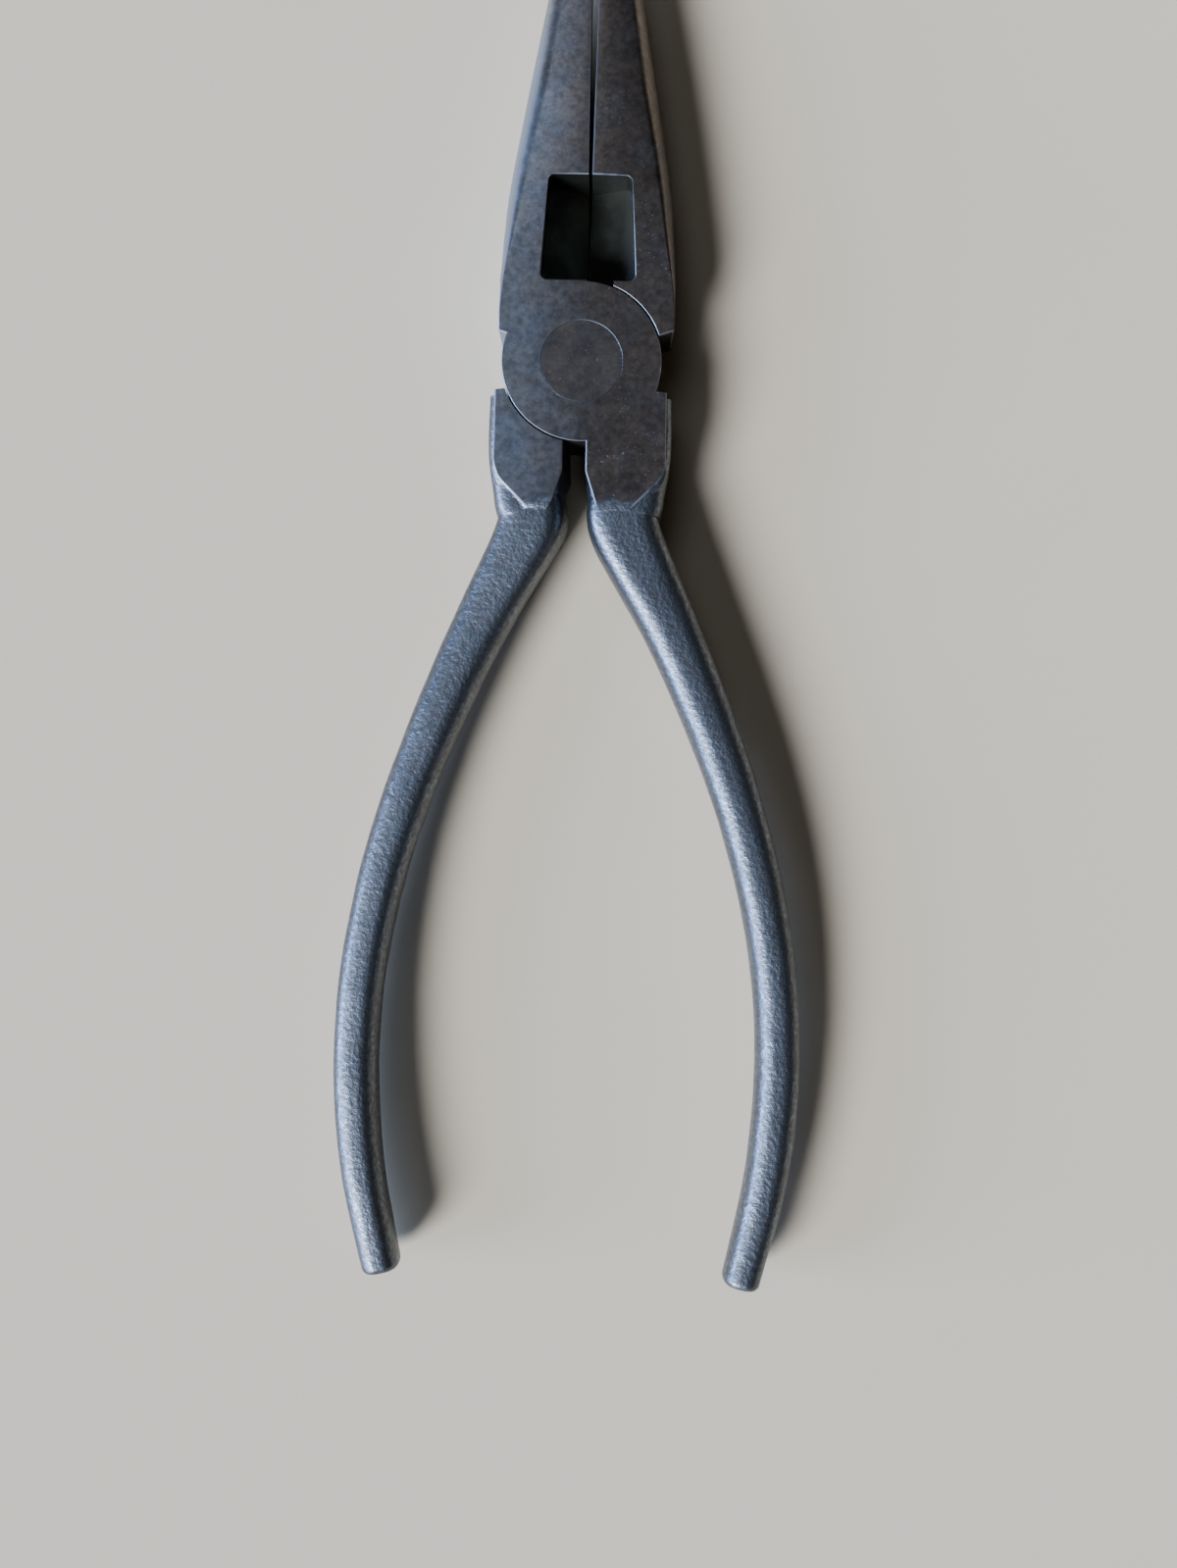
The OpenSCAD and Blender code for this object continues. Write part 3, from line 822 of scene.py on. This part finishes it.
def ground_steel(name, finish):
    """Surface-ground tool steel, blued and aged.

    The wheel leaves a fine satin that the bluing darkens. The bluing has aged brown on the right
    and stays blue on the left, and painted light makes the left lighter and the right darker.
    A painted sheen makes the faces paler toward the tips. Small pale specks show where it was
    knocked. The rounded side on the left has a painted highlight.
    At the handles' necks the grinding runs out unevenly over the grain of the forging.
    """
    material, tree, place = empty_material(name)
    axes = add(tree, "ShaderNodeSeparateXYZ", Vector=place)

    # Brown to blue over 15 mm across the joint, aged colour with painted light that makes the left
    # lighter and the right darker, in patches 2.6 mm wide and a mottle of 0.5 mm, and a painted
    # sheen that makes it paler toward the tips.
    painted_light_left = add(tree, "ShaderNodeMapRange", SOFT_ENDS, Value=axes.outputs["X"],
                 From_Min=0.003, From_Max=-0.012)
    base = add(tree, "ShaderNodeMix", MIX_COLOURS,
               Factor=painted_light_left, A=finish.brown_steel, B=finish.blue_steel)
    blotches = add(tree, "ShaderNodeTexNoise", Vector=place, Scale=lumps(0.0026),
                   Detail=5.0, Roughness=0.65)
    patches = add(tree, "ShaderNodeMapRange", SOFT_ENDS, Value=blotches,
                  From_Min=0.34, From_Max=0.66)
    tint = add(tree, "ShaderNodeMix", MIX_COLOURS,
               Factor=patches, A=(0.93, 0.98, 1.05), B=(1.06, 1.0, 0.93))
    mottle = add(tree, "ShaderNodeTexNoise", Vector=place, Scale=lumps(0.0005),
                 Detail=4.0, Roughness=0.7)
    tone = add(tree, "ShaderNodeMapRange", SOFT_ENDS, Value=mottle,
               From_Min=0.25, From_Max=0.75, To_Min=0.66, To_Max=1.26)
    # Painted sheen: the faces are made paler toward the tips.
    painted_sheen_tips = add(tree, "ShaderNodeMapRange", SOFT_ENDS, Value=axes.outputs["Y"],
               From_Min=0.015, From_Max=0.075, To_Min=1.0, To_Max=1.8)
    for layer in (tint, tone, painted_sheen_tips):
        base = add(tree, "ShaderNodeMix", TINT, Factor=1.0, A=base, B=layer)

    # Painted highlight on the left, where the surface turns down to the side and faces the light.
    normal = add(tree, "ShaderNodeNewGeometry").outputs["Normal"]
    facing = add(tree, "ShaderNodeSeparateXYZ", Vector=normal)
    level = add(tree, "ShaderNodeMath", {"operation": "ABSOLUTE"}, _0=facing.outputs["Z"])
    steep = add(tree, "ShaderNodeMapRange", SOFT_ENDS, Value=level,
                From_Min=0.97, From_Max=0.6, To_Min=0.0, To_Max=0.9)
    outside = add(tree, "ShaderNodeMapRange", SOFT_ENDS, Value=axes.outputs["X"],
                  From_Min=-0.004, From_Max=-0.008)
    bright = add(tree, "ShaderNodeMath", TIMES, _0=steep, _1=outside)
    base = add(tree, "ShaderNodeMix", MIX_COLOURS, Factor=bright, A=base, B=finish.painted_side_highlight)

    # The forged grain comes in at the end of the grinding, which wavers by a few millimetres.
    grain = add(tree, "ShaderNodeTexNoise", Vector=place, Scale=lumps(finish.grain),
                Detail=2.0, Roughness=0.5)
    waver = add(tree, "ShaderNodeTexNoise", Vector=place, Scale=lumps(0.0014),
                Detail=4.0, Roughness=0.6)
    uneven = add(tree, "ShaderNodeMath", {"operation": "MULTIPLY_ADD"},
                 _0=waver, _1=0.0036, _2=axes.outputs["Y"])
    run_out = add(tree, "ShaderNodeMapRange", SOFT_ENDS, Value=uneven,
                  From_Min=-0.0182, From_Max=-0.0190)
    tops = add(tree, "ShaderNodeMapRange", SOFT_ENDS, Value=grain, From_Min=0.35, From_Max=0.7)
    neck = add(tree, "ShaderNodeMix", MIX_COLOURS,
               Factor=tops, A=finish.scale, B=finish.scale_worn)
    base = add(tree, "ShaderNodeMix", MIX_COLOURS, Factor=run_out, A=base, B=neck)

    # Knocks are specks of 0.2 mm that gather in stretches of 6 mm.
    grit = add(tree, "ShaderNodeTexNoise", Vector=place, Scale=lumps(0.00022),
               Detail=1.0, Roughness=0.55)
    specks = add(tree, "ShaderNodeMapRange", SOFT_ENDS, Value=grit,
                 From_Min=0.69, From_Max=0.74, To_Min=0.0, To_Max=0.9)
    stretches = add(tree, "ShaderNodeTexNoise", Vector=place, Scale=lumps(0.006),
                    Detail=3.0, Roughness=0.55)
    knocked = add(tree, "ShaderNodeMapRange", SOFT_ENDS, Value=stretches,
                  From_Min=0.42, From_Max=0.6)
    pale = add(tree, "ShaderNodeMath", TIMES, _0=specks, _1=knocked)
    base = add(tree, "ShaderNodeMix", MIX_COLOURS, Factor=pale, A=base, B=finish.bare_steel)

    # The wheel's lines run along the tool. Real ones are finer than 0.15 mm and wouldn't show.
    worn = add(tree, "ShaderNodeTexNoise", Vector=place, Scale=lumps(0.0016),
               Detail=4.0, Roughness=0.65)
    satin = add(tree, "ShaderNodeMapRange", SOFT_ENDS, Value=worn,
                From_Min=0.3, From_Max=0.7, To_Min=0.36, To_Max=0.45)
    along = add(tree, "ShaderNodeMapping", Vector=place, Scale=(1.0, 0.1, 1.0))
    lines = add(tree, "ShaderNodeTexNoise", Vector=along, Scale=lumps(0.00015),
                Detail=3.0, Roughness=0.6)
    wheel = add(tree, "ShaderNodeBump", Height=lines, Strength=0.3, Distance=0.00001)
    relief = add(tree, "ShaderNodeBump", Height=grain, Strength=run_out, Distance=0.00005,
                 Normal=wheel)

    shader = add(tree, "ShaderNodeBsdfPrincipled", Metallic=1.0, Base_Color=base,
                 Roughness=satin, Normal=relief)
    add(tree, "ShaderNodeOutputMaterial", Surface=shader)
    return material


def forged_steel(name, finish):
    """Drop-forged steel with its scale.

    The die and the scale leave a fine pebbled grain. Hands polish the tops of the grain, so
    they glint, while the hollows stay dark.
    """
    material, tree, place = empty_material(name)
    grain = add(tree, "ShaderNodeTexNoise", Vector=place, Scale=lumps(finish.grain),
                Detail=3.0, Roughness=0.6)
    coarse = add(tree, "ShaderNodeTexNoise", Vector=place, Scale=lumps(finish.grain * 5),
                 Detail=2.0, Roughness=0.55)
    tops = add(tree, "ShaderNodeMapRange", SOFT_ENDS, Value=grain, From_Min=0.35, From_Max=0.7)
    handled = add(tree, "ShaderNodeMapRange", SOFT_ENDS, Value=coarse,
                  From_Min=0.3, From_Max=0.75, To_Min=0.4, To_Max=0.8)
    polish = add(tree, "ShaderNodeMath", TIMES, _0=tops, _1=handled)
    base = add(tree, "ShaderNodeMix", MIX_COLOURS,
               Factor=polish, A=finish.scale, B=finish.scale_worn)
    sheen = add(tree, "ShaderNodeMapRange", SOFT_ENDS, Value=polish, To_Min=0.46, To_Max=0.32)
    fine = add(tree, "ShaderNodeBump", Height=grain, Strength=0.9, Distance=0.00013)
    wide = add(tree, "ShaderNodeBump", Height=coarse, Strength=0.5, Distance=0.0001, Normal=fine)
    shader = add(tree, "ShaderNodeBsdfPrincipled", Metallic=1.0, Base_Color=base,
                 Roughness=sheen, Normal=wide)
    add(tree, "ShaderNodeOutputMaterial", Surface=shader)
    return material


def knife_steel(name, finish):
    """Ground steel inside the window and under the knives.

    Old oil lies on it in a film that darkens and dulls it in places. The wheel's lines run
    along the tool and are drawn 0.12 mm wide, because real ones are too fine to show.
    """
    material, tree, place = empty_material(name)
    oil = add(tree, "ShaderNodeTexNoise", Vector=place, Scale=lumps(0.003),
              Detail=3.0, Roughness=0.55)
    film = add(tree, "ShaderNodeMapRange", SOFT_ENDS, Value=oil, From_Min=0.3, From_Max=0.7)
    base = add(tree, "ShaderNodeMix", MIX_COLOURS, Factor=film, A=finish.knife_steel,
               B=tuple(0.6 * c for c in finish.knife_steel))
    dull = add(tree, "ShaderNodeMapRange", SOFT_ENDS, Value=film, To_Min=0.4, To_Max=0.55)
    along = add(tree, "ShaderNodeMapping", Vector=place, Scale=(1.0, 0.06, 1.0))
    lines = add(tree, "ShaderNodeTexNoise", Vector=along, Scale=lumps(0.00012),
                Detail=2.0, Roughness=0.5)
    wheel = add(tree, "ShaderNodeBump", Height=lines, Strength=0.2, Distance=0.00002)
    shader = add(tree, "ShaderNodeBsdfPrincipled", Metallic=1.0, Base_Color=base,
                 Roughness=dull, Normal=wheel)
    add(tree, "ShaderNodeOutputMaterial", Surface=shader)
    return material


def worn_steel(name, finish):
    """Broken edges, where the bluing has worn through to bright steel.

    The bright stretches are about 1.2 mm long, and more wear joins them.
    """
    material, tree, place = empty_material(name)
    rub = add(tree, "ShaderNodeTexNoise", Vector=place, Scale=lumps(0.0012),
              Detail=3.0, Roughness=0.6)
    through = add(tree, "ShaderNodeMapRange", SOFT_ENDS, Value=rub,
                  From_Min=0.72 - 0.4 * finish.wear, From_Max=0.82 - 0.4 * finish.wear)
    base = add(tree, "ShaderNodeMix", MIX_COLOURS,
               Factor=through, A=finish.blue_steel, B=finish.bare_steel)
    gloss = add(tree, "ShaderNodeMapRange", SOFT_ENDS, Value=through, To_Min=0.5, To_Max=0.36)
    shader = add(tree, "ShaderNodeBsdfPrincipled", Metallic=1.0, Base_Color=base,
                 Roughness=gloss)
    add(tree, "ShaderNodeOutputMaterial", Surface=shader)
    return material


def rivet_steel(name, finish):
    """Rivet head, ground with the faces: the same satin, a little warmer, with small dents."""
    material, tree, place = empty_material(name)
    blotches = add(tree, "ShaderNodeTexNoise", Vector=place, Scale=lumps(0.003),
                   Detail=4.0, Roughness=0.55)
    patches = add(tree, "ShaderNodeMapRange", SOFT_ENDS, Value=blotches,
                  From_Min=0.36, From_Max=0.64, To_Min=0.0, To_Max=0.8)
    base = add(tree, "ShaderNodeMix", MIX_COLOURS,
               Factor=patches, A=finish.rivet_steel, B=finish.brown_steel)
    mottle = add(tree, "ShaderNodeTexNoise", Vector=place, Scale=lumps(0.0006),
                 Detail=4.0, Roughness=0.7)
    tone = add(tree, "ShaderNodeMapRange", SOFT_ENDS, Value=mottle,
               From_Min=0.25, From_Max=0.75, To_Min=0.72, To_Max=1.16)
    base = add(tree, "ShaderNodeMix", TINT, Factor=1.0, A=base, B=tone)
    grit = add(tree, "ShaderNodeTexNoise", Vector=place, Scale=lumps(0.00025),
               Detail=1.0, Roughness=0.55)
    specks = add(tree, "ShaderNodeMapRange", SOFT_ENDS, Value=grit,
                 From_Min=0.74, From_Max=0.8, To_Min=0.0, To_Max=0.6)
    base = add(tree, "ShaderNodeMix", MIX_COLOURS, Factor=specks, A=base, B=finish.bare_steel)
    satin = add(tree, "ShaderNodeMapRange", SOFT_ENDS, Value=patches, To_Min=0.4, To_Max=0.5)
    pits = add(tree, "ShaderNodeTexNoise", Vector=place, Scale=lumps(0.0003),
               Detail=3.0, Roughness=0.55)
    dents = add(tree, "ShaderNodeBump", Height=pits, Strength=0.2, Distance=0.00002)
    shader = add(tree, "ShaderNodeBsdfPrincipled", Metallic=1.0, Base_Color=base,
                 Roughness=satin, Normal=dents)
    add(tree, "ShaderNodeOutputMaterial", Surface=shader)
    return material


def half_materials(side):
    """The four steels of a forged half, in the order of its material slots."""
    finish = bpy.context.scene.pliers_finish
    return [ground_steel(f"ground blued tool steel, {side}", finish),
            forged_steel(f"forged scale, {side}", finish),
            knife_steel(f"ground knife steel, {side}", finish),
            worn_steel(f"worn edge steel, {side}", finish)]


# Operators

class PLIERS_OT_left_jaw_half(bpy.types.Operator):
    """Builds the half with the left jaw, the upper lap and the right handle"""

    bl_idname = "pliers.left_jaw_half"
    bl_label = "Left jaw half"

    def execute(self, context):
        s = sizes()
        made = forging("left_jaw_half_steel", s, side=1, gap=s.seat_gap, seed=3.1)
        grind_knife(made, s, side=-1)
        made.data.transform(Matrix.Rotation(s.rest_angle / 2, 4, "Z"))
        finish_piece(made, half_materials("upper half"), "half_with_rivet", "left_jaw_half")
        return {"FINISHED"}


class PLIERS_OT_right_jaw_half(bpy.types.Operator):
    """Builds the same forging turned over: the right jaw, the lower lap and the left handle"""

    bl_idname = "pliers.right_jaw_half"
    bl_label = "Right jaw half"

    def execute(self, context):
        s = sizes()
        made = forging("right_jaw_half_steel", s, side=-1, gap=s.turning_gap, seed=8.7)
        made.data.transform(Matrix.Translation((0, 0, s.joint_t)) @ Matrix.Rotation(math.pi, 4, "Y"))
        grind_knife(made, s, side=1)
        made.data.transform(Matrix.Rotation(-s.rest_angle / 2, 4, "Z"))
        finish_piece(made, half_materials("lower half"), "turning_half", "right_jaw_half")
        return {"FINISHED"}


class PLIERS_OT_pivot_rivet(bpy.types.Operator):
    """Turns the rivet with its two countersunk heads"""

    bl_idname = "pliers.pivot_rivet"
    bl_label = "Pivot rivet"

    def execute(self, context):
        s = sizes()
        e, head, deep = s.rivet_edge, s.rivet_head_r, s.rivet_head_h
        low = [(0, 0), (head - e, 0), (head - e * 0.4, e), (s.rivet_r, deep)]
        high = [(radius, s.joint_t - z) for radius, z in reversed(low)]
        ground, worn = range(2)
        finishes = [ground, worn, ground, ground, ground, worn, ground]
        made = as_object("pivot_rivet_steel", spun(low + high, finishes, RIVET_STEPS))
        finish = bpy.context.scene.pliers_finish
        materials = [rivet_steel("ground rivet steel", finish),
                     worn_steel("worn rivet edge", finish)]
        finish_piece(made, materials, "half_with_rivet", "pivot_rivet")
        return {"FINISHED"}


class PLIERS_OT_stage(bpy.types.Operator):
    """Sets the pale floor, the window light and the camera that looks straight down"""

    bl_idname = "pliers.stage"
    bl_label = "Floor, light and camera"

    def execute(self, context):
        stage = context.scene.pliers_stage
        self.floor(stage)
        self.light(stage)
        self.camera(stage)
        return {"FINISHED"}

    def floor(self, stage):
        bm = bmesh.new()
        bmesh.ops.create_grid(bm, x_segments=1, y_segments=1, size=FLOOR_HALF)
        made = as_object("floor", bm)
        made.location.z = -stage.floor_drop
        material, tree, place = empty_material("pale matt floor")
        darker = tuple(0.95 * c for c in stage.floor_colour)
        patches = add(tree, "ShaderNodeTexNoise", Vector=place, Scale=lumps(0.02),
                      Detail=3.0, Roughness=0.55)
        tint = add(tree, "ShaderNodeMix", MIX_COLOURS,
                   Factor=patches, A=darker, B=stage.floor_colour)
        shader = add(tree, "ShaderNodeBsdfPrincipled", Base_Color=tint, Roughness=0.9)
        add(tree, "ShaderNodeOutputMaterial", Surface=shader)
        made.data.materials.clear()
        made.data.materials.append(material)

    def light(self, stage):
        """Pale walls near the horizon, a dim ceiling over them, and three soft lights."""
        world = bpy.data.worlds.new("pale room")
        world.use_nodes = True
        tree = world.node_tree
        room = tree.nodes["Background"]
        room.inputs["Color"].default_value = (*stage.room_colour, 1.0)
        direction = add(tree, "ShaderNodeTexCoord").outputs["Generated"]
        up = add(tree, "ShaderNodeSeparateXYZ", Vector=direction).outputs["Z"]
        glow = add(tree, "ShaderNodeMapRange", SOFT_ENDS, Value=up, From_Min=0.1, From_Max=0.24,
                   To_Min=stage.wall_light, To_Max=stage.room_light)
        tree.links.new(glow.outputs["Result"], room.inputs["Strength"])
        bpy.context.scene.world = world
        for name in ("key", "side", "top"):
            self.soft_light(stage, name)

    def soft_light(self, stage, name):
        watts, spread, turn, rise, tint = (getattr(stage, f"{name}_{part}") for part in
                                           ("strength", "spread", "turn", "rise", "colour"))
        lamp = bpy.data.lights.new(name, "SUN")
        lamp.energy = watts
        lamp.angle = spread
        lamp.color = tint
        made = bpy.data.objects.new(name, lamp)
        bpy.context.scene.collection.objects.link(made)
        away = Vector((math.cos(turn) * math.cos(rise), math.sin(turn) * math.cos(rise),
                       math.sin(rise)))
        made.location = away
        made.rotation_euler = away.to_track_quat("Z", "Y").to_euler()

    def camera(self, stage):
        """Looks straight down, with the rivet where the photograph has it."""
        lens = bpy.data.cameras.new("camera")
        focal = stage.camera_height / stage.pixel
        lens.sensor_fit = "HORIZONTAL"
        lens.lens = lens.sensor_width * focal / PHOTO_W
        made = bpy.data.objects.new("camera", lens)
        bpy.context.scene.collection.objects.link(made)
        turned = Matrix.Rotation(stage.roll, 3, "Z") @ Matrix.Rotation(stage.pan, 3, "Y")
        ray = turned @ Vector(((stage.rivet_right - 0.5) * PHOTO_W / focal,
                               (0.5 - stage.rivet_down) * PHOTO_H / focal, -1.0))
        above = Vector((0, 0, JOINT_T))
        made.location = above + ray / ray.z * stage.camera_height
        made.rotation_euler = turned.to_euler()
        bpy.context.scene.camera = made


class PLIERS_PT_build(bpy.types.Panel):
    """Lists the steps that build the pliers"""

    bl_idname = "PLIERS_PT_build"
    bl_label = "Pliers"
    bl_space_type = "VIEW_3D"
    bl_region_type = "UI"
    bl_category = "Pliers"

    def draw(self, context):
        for operator in OPERATORS:
            self.layout.operator(operator.bl_idname)
        for group in ("pliers_sizes", "pliers_finish", "pliers_stage"):
            box = self.layout.box()
            settings = getattr(context.scene, group)
            for name in settings.__annotations__:
                box.prop(settings, name)


OPERATORS = (PLIERS_OT_stage, PLIERS_OT_left_jaw_half, PLIERS_OT_right_jaw_half,
             PLIERS_OT_pivot_rivet)
GROUPS = {"pliers_sizes": PliersSizes, "pliers_finish": PliersFinish, "pliers_stage": PliersStage}


def register():
    for cls in (*GROUPS.values(), *OPERATORS, PLIERS_PT_build):
        bpy.utils.register_class(cls)
    for name, group in GROUPS.items():
        setattr(bpy.types.Scene, name, bpy.props.PointerProperty(type=group))


def unregister():
    for name in GROUPS:
        delattr(bpy.types.Scene, name)
    for cls in reversed((*GROUPS.values(), *OPERATORS, PLIERS_PT_build)):
        bpy.utils.unregister_class(cls)


def main():
    register()
    bpy.ops.pliers.stage()
    bpy.ops.pliers.left_jaw_half()
    bpy.ops.pliers.right_jaw_half()
    bpy.ops.pliers.pivot_rivet()


if __name__ == "__main__":
    main()
